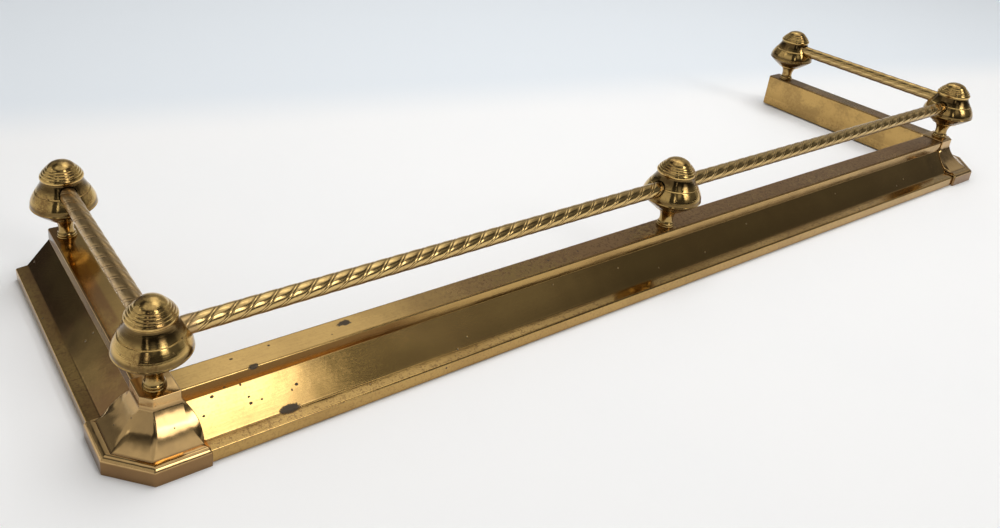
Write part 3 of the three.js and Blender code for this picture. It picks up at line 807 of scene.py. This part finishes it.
SPUN_GOLD = (0.70, 0.47, 0.165)
SPUN_BROWN = (0.36, 0.21, 0.075)
SPUN_SHADE = (0.085, 0.050, 0.020)
SPOT_BROWN = (0.13, 0.07, 0.03)

spun_brass, start = new_tree("polished_spun_brass")
place = start.node("ShaderNodeTexCoord", output="Object")
crevice = start.node("ShaderNodeAttribute", {"attribute_name": "crevice"}, output="Fac")
lathe = start.node("ShaderNodeAttribute", {"attribute_name": "lathe"}, output="Fac")
cloud = place.noise(55, 3)
grain = place.noise(480, 3, 0.6)
turning = {"W": lathe, "Scale": 1.7, "Detail": 3.0}
rings = start.node("ShaderNodeTexNoise", {"noise_dimensions": "1D"}, turning)
spots = place.specks(210, 0.24, 0.12)
stain = (cloud * 0.7 + grain * 0.45).step(0.54, 0.78)
colour = stain.mix(SPUN_GOLD, SPUN_BROWN)
# painted shade in the grooves between the cap's rings and the other hollows of the turned outlines
colour = (crevice.step(0.15, 0.9) * 0.35).mix(colour, SPUN_SHADE)
level = place.part("Z")
facing = start.node("ShaderNodeTexCoord", output="Normal").part("Z")
# painted shade in the neck under the cap, on the downward-facing bowl low on the body, and on the
# pedestal under the body
neck = level.step(0.1000, 0.1065) * level.step(0.1132, 0.1118)
bowl = facing.step(0.42, 0.16) * level.step(0.0725, 0.0745) * level.step(0.096, 0.090)
pedestal_shade = level.step(0.0725, 0.0705) * 0.45
colour = (neck * 0.85).mix(colour, SPUN_SHADE)
colour = (bowl * 0.82 + pedestal_shade).mix(colour, SPUN_SHADE)
colour = (spots * 0.75).mix(colour, SPOT_BROWN)
roughness = 0.05 + stain * 0.08 + grain * 0.04 + crevice * 0.12 + spots * 0.25
height = rings * 0.00006 + place.noise(70, 2) * 0.0003 - spots * 0.00005
finish(colour, roughness, height=height)

for name, (x, y, seat, rails) in FINIALS.items():
    pedestal = turned(f"{name}_turned_pedestal", drawn(PEDESTAL), x, y, seat)
    body = turned(f"{name}_spun_body", drawn(BODY_OUTSIDE + BODY_INSIDE), x, y, seat)
    for east, north in rails:
        level = (FRONT_RAIL_HEIGHT if east else SIDE_RAIL_HEIGHT) + HOLE_RISE
        near = (x + east * STUD_BORE, y + north * STUD_BORE, level)
        far = (x + east * 40, y + north * 40, level)
        combined(body, bar(near, far, HOLE_RADIUS, 64))
    cap = turned(f"{name}_ringed_cap", drawn(CAP_OUTSIDE + CAP_INSIDE), x, y, seat)
    for part, made in (("pedestal", pedestal), ("body", body), ("cap", cap)):
        made.data.materials.append(spun_brass)
        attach(made, "fender")
        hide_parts(f"{name}_{part}")

# ------------------------------------------------------------------ studs, washers and nuts
# A threaded steel stud runs down through each finial and the kerb's top. A washer and a hexagon nut
# under the top pull the finial down on its seat.

STUD_RADIUS = 2.95
THREAD_PITCH = 1.0
STUD_TOP = BOSS_TOP - 0.3
TAIL = 4
NUT_ACROSS = 10
NUT_HEIGHT = 5
NUT_CHAMFER = 0.5
WASHER_RADIUS = 9
WASHER_THICKNESS = 1.2
PLATE_THICKNESS = 2.5
THREAD_DEPTH = 0.4
WASHER_EDGE = 0.2
ZINC_GREY = (0.33, 0.32, 0.30)
RUST_BROWN = (0.16, 0.09, 0.05)

steel, start = new_tree("dull_zinc_steel")
place = start.node("ShaderNodeTexCoord", output="Object")
cloud = place.noise(120, 4, 0.6)
rust = cloud.step(0.55, 0.75)
colour = (rust * 0.7).mix(ZINC_GREY, RUST_BROWN)
finish(colour, 0.38 + rust * 0.3, 1 - rust * 0.5, cloud * 0.0001)


def hexagon_nut(name, x, y, bottom, top):
    """A nut with chamfered corners and a bore."""
    point_radius = NUT_ACROSS / math.sqrt(3)
    flat_radius = NUT_ACROSS / 2
    sides = 48
    rings = []
    levels = [(bottom, flat_radius), (bottom + NUT_CHAMFER, point_radius)]
    levels += [(top - NUT_CHAMFER, point_radius), (top, flat_radius)]
    for height, limit in levels:
        ring = []
        for step in range(sides):
            angle = 2 * math.pi * step / sides
            folded = (angle + math.pi / 6) % (math.pi / 3) - math.pi / 6
            radius = min(flat_radius / math.cos(folded), limit)
            ring.append((x + radius * math.cos(angle), y + radius * math.sin(angle), height))
        rings.append(ring)
    nut = lofted(name, rings)
    return combined(nut, stud_hole(x, y, bottom - 2, top + 2))


for name, (x, y, seat, _) in FINIALS.items():
    grip = SHEET if seat == KERB_TOP else PLATFORM_PROUD + SHEET + PLATE_THICKNESS
    washer_top = seat - grip
    nut_top = washer_top - WASHER_THICKNESS
    nut_foot = nut_top - NUT_HEIGHT
    foot = nut_foot - TAIL
    tip = seat + STUD_TOP - foot
    root = STUD_RADIUS - THREAD_DEPTH
    turns = int((nut_top - foot) / THREAD_PITCH)
    thread = [(0, 0), (root, 0)]
    for turn in range(turns):
        thread += [(STUD_RADIUS, (turn + 0.35) * THREAD_PITCH), (root, (turn + 0.85) * THREAD_PITCH)]
    thread += [(STUD_RADIUS, turns * THREAD_PITCH + THREAD_DEPTH), (STUD_RADIUS, tip), (0, tip)]
    stud = turned(f"{name}_threaded_stud", [Vector(point) for point in thread], x, y, foot)
    nut = hexagon_nut(f"{name}_hexagon_nut", x, y, nut_foot, nut_top)
    face, edge = WASHER_RADIUS - WASHER_EDGE, WASHER_THICKNESS - WASHER_EDGE
    ring = [(STUD_BORE, 0), (face, 0), (WASHER_RADIUS, WASHER_EDGE), (WASHER_RADIUS, edge)]
    ring += [(face, WASHER_THICKNESS), (STUD_BORE, WASHER_THICKNESS)]
    washer = turned(f"{name}_round_washer", [Vector(point) for point in ring], x, y, nut_top)
    for part, made in (("stud", stud), ("nut", nut), ("washer", washer)):
        made.data.materials.append(steel)
        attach(made, "fender")
        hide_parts(f"{name}_{part}")

# ------------------------------------------------------------------ corner plates
# A flat steel angle plate lies under the tops of the two kerbs at each corner, and the corner's stud
# clamps it there, so that the kerbs hold square to one another.

PLATE_WIDTH = 22
PLATE_ARM = 110
PLATE_BEVEL = 0.4


def corner_plate(name):
    """The plate with its outer corner cut off, and a small bevel round its edges."""
    near = BAND_INSET + (KERB_WIDTH - BAND_INSET - PLATE_WIDTH) / 2
    far = near + PLATE_WIDTH
    nick = SLEEVED_END - BAND_INSET
    outline = [(near + nick, near), (PLATE_ARM, near), (PLATE_ARM, far), (far, far), (far, PLATE_ARM)]
    outline += [(near, PLATE_ARM), (near, near + nick)]
    corners = [Vector(point) for point in outline]
    closed = shifted([corners[-1]] + corners + [corners[0]], -PLATE_BEVEL)[1:-1]
    top = KERB_TOP - SHEET
    foot = top - PLATE_THICKNESS
    rings = []
    levels = [(closed, foot), (corners, foot + PLATE_BEVEL), (corners, top - PLATE_BEVEL), (closed, top)]
    for line, height in levels:
        rings.append([(point.x, point.y, height) for point in line])
    return combined(lofted(name, rings), stud_hole(FINIAL_INSET, FINIAL_INSET, foot - 4, top + 4))


for side in ("left", "right"):
    right = side == "right"
    plate = corner_plate(f"{side}_corner_angle_plate")
    set_down(plate, OUTER_X if right else -OUTER_X, FRONT_Y, mirror=right)
    plate.data.materials.append(steel)
    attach(plate, "fender")
    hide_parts(f"{side}_corner_plate")

# ------------------------------------------------------------------ twisted rails
# Four brass tubes with a rope twist run from finial to finial. Three broad lobes wind round each, with a
# narrow bead in the groove between them. The ends lie loose in the finials' holes.

RAIL_BORE = 6
RAIL_PITCH = 51.6
RAIL_STARTS = 3
RAIL_END_GAP = 11
# share of the way from one groove to the next, and depth below the crest
LOBE = [
    (0.000, 0.20), (0.045, 0.23), (0.080, 0.38), (0.100, 0.48), (0.125, 0.36), (0.17, 0.24), (0.25, 0.12),
    (0.36, 0.04), (0.50, 0.0), (0.64, 0.04), (0.75, 0.12), (0.83, 0.24), (0.875, 0.36), (0.900, 0.48),
    (0.920, 0.38), (0.955, 0.23),
]
RAIL_STEPS_PER_TURN = 26
GROOVE_START = 0.24


def twisted_rail(name, start, end, height):
    """A tube between two finials, whose lobes wind to the left."""
    axis = Vector((end[0] - start[0], end[1] - start[1], 0))
    length = axis.length - 2 * RAIL_END_GAP
    axis.normalize()
    across = Vector((-axis.y, axis.x, 0))
    centre = Vector(((start[0] + end[0]) / 2, (start[1] + end[1]) / 2, height))

    def spot(along, turn, share, radius):
        angle = 2 * math.pi * ((turn + share) / RAIL_STARTS - along / RAIL_PITCH)
        side = across * (radius * math.sin(angle)) - Vector((0, 0, radius * math.cos(angle)))
        return centre + axis * along + side

    steps = round(length / RAIL_PITCH * RAIL_STEPS_PER_TURN)
    rows, marks = [], []
    for i in range(steps + 1):
        along = (i / steps - 0.5) * length
        for turn in range(RAIL_STARTS):
            for share, depth in LOBE:
                rows.append(spot(along, turn, share, RAIL_RADIUS - depth))
                marks.append(min(max(depth / GROOVE_START - 1, 0), 1))
    for along in (length / 2, -length / 2):
        for turn in range(RAIL_STARTS):
            for share, _ in LOBE:
                rows.append(spot(along, turn, share, RAIL_BORE))
                marks.append(1)
    count = RAIL_STARTS * len(LOBE)
    faces = []
    for r in range(steps + 3):
        ring, following = r * count, (r + 1) % (steps + 3) * count
        for i in range(count):
            ahead = (i + 1) % count
            faces.append([ring + i, ring + ahead, following + ahead, following + i])
    return piece(name, rows, faces, {"crevice": marks}, crease=50)


ROPE_GOLD = (0.72, 0.50, 0.20)
ROPE_BROWN = (0.45, 0.28, 0.11)
GROOVE_SHADE = (0.12, 0.065, 0.025)
UNDERSIDE_SHADE = (0.14, 0.085, 0.040)
DULL_ROPE = (0.48, 0.32, 0.16)

rail_brass, start = new_tree("rope_brass")
place = start.node("ShaderNodeTexCoord", output="Object")
crevice = start.node("ShaderNodeAttribute", {"attribute_name": "crevice"}, output="Fac")
cloud = place.noise(40, 3)
grain = place.noise(430, 3, 0.6)
stain = (cloud * 0.6 + grain * 0.6).step(0.52, 0.80)
colour = (stain * 0.6).mix(ROPE_GOLD, ROPE_BROWN)
# painted shade in the grooves between the lobes and on the tube's ends
colour = (crevice.step(0.2, 0.9) * 0.7).mix(colour, GROOVE_SHADE)
facing = start.node("ShaderNodeTexCoord", output="Normal").part("Z")
# painted shade on the underside of the tube
colour = (facing.step(0.10, -0.30) * 0.75).mix(colour, UNDERSIDE_SHADE)
# the left side rail has kept less of its polish
left_side = place.part("X").step(-0.530, -0.533)
colour = (left_side * 0.6).mix(colour, DULL_ROPE)
roughness = 0.10 + left_side * 0.16 + stain * 0.10 + crevice * 0.2 + grain * 0.05
finish(colour, roughness, height=grain * 0.00004)

CORNERS = {name: (x, y) for name, (x, y, _, _) in FINIALS.items()}
RAILS = {
    "front_left_rail": ("front_left_finial", "centre_finial", FRONT_RAIL_HEIGHT),
    "front_right_rail": ("centre_finial", "front_right_finial", FRONT_RAIL_HEIGHT),
    "left_side_rail": ("front_left_finial", "back_left_finial", SIDE_RAIL_HEIGHT),
    "right_side_rail": ("front_right_finial", "back_right_finial", SIDE_RAIL_HEIGHT),
}
for name, (near, far, height) in RAILS.items():
    rail = twisted_rail(f"{name}_rope_tube", CORNERS[near], CORNERS[far], height)
    rail.data.materials.append(rail_brass)
    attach(rail, name)
    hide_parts(name)

# ------------------------------------------------------------------ floor, light and camera
# A pale floor under one broad soft lamp. The world is a dim room with patches of light, of which a
# window in front is the brightest, because polished brass shows the whole room.

# the floor turns cooler behind the fender, in a soft band on a slant, as at the foot of a pale wall
WALL_SLANT = 0.262
WALL_LINE = 0.358
FLOOR_REACH = 7
FLOOR_PAINT, WORN_PAINT = (0.95, 0.95, 0.95), (0.93, 0.935, 0.94)
COOL_PAINT = (0.80, 0.85, 0.90)

floor_mesh = bpy.data.meshes.new("floor")
corners = [(x * FLOOR_REACH, y * FLOOR_REACH, 0) for x, y in ((-1, -1), (1, -1), (1, 1), (-1, 1))]
floor_mesh.from_pydata(corners, [], [[0, 1, 2, 3]])
floor = bpy.data.objects.new("floor", floor_mesh)
bpy.context.scene.collection.objects.link(floor)
floor_paint, start = new_tree("pale_floor")
place = start.node("ShaderNodeTexCoord", output="Object")
back = place.part("Y") + place.part("X") * WALL_SLANT
beyond = back.step(WALL_LINE - 0.05, WALL_LINE + 0.13)
colour = beyond.mix(place.noise(3, 4).step(0.3, 0.8).mix(FLOOR_PAINT, WORN_PAINT), COOL_PAINT)
finish(colour, 0.6, 0.0)
floor.data.materials.append(floor_paint)

# azimuth from straight in front towards the right, elevation, half width, half height, soft edge, light
ROOM_PATCHES = [
    (19.2, 35, 9.2, 11, 3.6, 3.0),
    (19.5, 46.5, 9.0, 6.5, 2.2, 2.8),
    (0, 90, 180, 27, 6, 0.5),
    (19.5, 22, 9.8, 8, 6, 0.35),
    (41, 37, 9, 6, 4, 0.15),
    (50, 22, 20, 16, 7, 0.06),
    (35, 68, 32, 13, 6, 0.26),
    (110, 64, 38, 8, 7, 0.9),
    (132, 62, 16, 9, 7, 0.6),
    (151, 46, 9, 13, 5, 0.74),
    (131, 46, 11, 7, 5, 0.48),
    (126, 26, 42, 32, 8, 0.21),
    (112, 32, 6, 8, 4, 0.24),
    (118, 4, 52, 11, 5, 0.18),
    (79, 24, 8, 9, 4, 0.32),
    (166, 46, 10, 12, 2.5, 0.22),
    (-165, 27, 21, 14, 5, 0.14),
    (-98, 18, 43.6, 26, 1.2, 0.42),
    (-110, 62, 30, 12, 8, 0.12),
    (-105, 41, 7, 4, 2.5, 0.6),
    (-35, 24, 3, 9, 2, 1.3),
    (-14, 38, 9, 7, 4, 0.36),
]
WALL_LIGHT = 0.045
WARM_DAYLIGHT = (1.0, 0.985, 0.96)
BACKDROP = (0.81, 0.855, 0.89)

world = bpy.data.worlds.new("studio")
bpy.context.scene.world = world
world.use_nodes = True
world.node_tree.nodes.clear()
start = Wire(world.node_tree)
looking = start.node("ShaderNodeTexCoord", output="Generated")
east, north, up = looking.part("X"), looking.part("Y"), looking.part("Z")
azimuth = start.maths("ARCTAN2", east, north * -1) * math.degrees(1)
elevation = start.maths("ARCSINE", up) * math.degrees(1)
light = elevation.step(-90, -89) * WALL_LIGHT
for heading, height, half_width, half_height, soft, bright in ROOM_PATCHES:
    aside = start.maths("ABSOLUTE", start.maths("WRAP", azimuth - heading, 180, -180))
    above = start.maths("ABSOLUTE", elevation - height)
    inside = aside.step(half_width + soft, half_width - soft)
    inside = inside * above.step(half_height + soft, half_height - soft)
    light = light + inside * bright
# the camera sees a plain backdrop, and mirrored rays see it too, low down behind the fender
seen = start.node("ShaderNodeLightPath", output="Is Camera Ray")
mirrored = start.node("ShaderNodeLightPath", output="Is Glossy Ray")
through = start.node("ShaderNodeLightPath", output="Is Transmission Ray")
behind = north.step(0.2, 0.5) * elevation.step(3, 0)
sky = (seen + (mirrored + through) * behind).mix(light * WARM_DAYLIGHT, BACKDROP)
background = start.node("ShaderNodeBackground", {}, {"Color": sky, "Strength": 1.0})
start.node("ShaderNodeOutputWorld", {}, {"Surface": background})

# the lamp lights the floor, and the brass shows the room instead of it
softbox = bpy.data.lights.new("softbox", "AREA")
softbox.shape = "RECTANGLE"
softbox.size, softbox.size_y = 2.2, 1.6
softbox.energy = 39
overhead = bpy.data.objects.new("softbox", softbox)
overhead.location = (0.4, 0.1, 2.3)
overhead.visible_glossy = False
bpy.context.scene.collection.objects.link(overhead)

# The camera stands to the left of the front, looks down along the fender and leans a little.
CAMERA_PLACE = (-0.73188, -0.65311, 0.51102)
YAW, PITCH, ROLL = math.radians(34.71), math.radians(-24.17), math.radians(4.48)
forward = Vector((math.sin(YAW) * math.cos(PITCH), math.cos(YAW) * math.cos(PITCH), math.sin(PITCH)))
level_right = Vector((math.cos(YAW), -math.sin(YAW), 0))
level_up = level_right.cross(forward)
right = level_right * math.cos(ROLL) + level_up * math.sin(ROLL)
upward = level_up * math.cos(ROLL) - level_right * math.sin(ROLL)
lens = bpy.data.cameras.new("camera")
lens.sensor_width = 36
lens.lens = 32.39
lens.shift_x = 0.1026
lens.shift_y = -0.1255
lens.clip_start = 0.05
camera = bpy.data.objects.new("camera", lens)
turn = Matrix((right, upward, -forward)).transposed().to_4x4()
camera.matrix_world = Matrix.Translation(CAMERA_PLACE) @ turn
bpy.context.scene.collection.objects.link(camera)
bpy.context.scene.camera = camera
bpy.context.scene.view_settings.view_transform = "Standard"
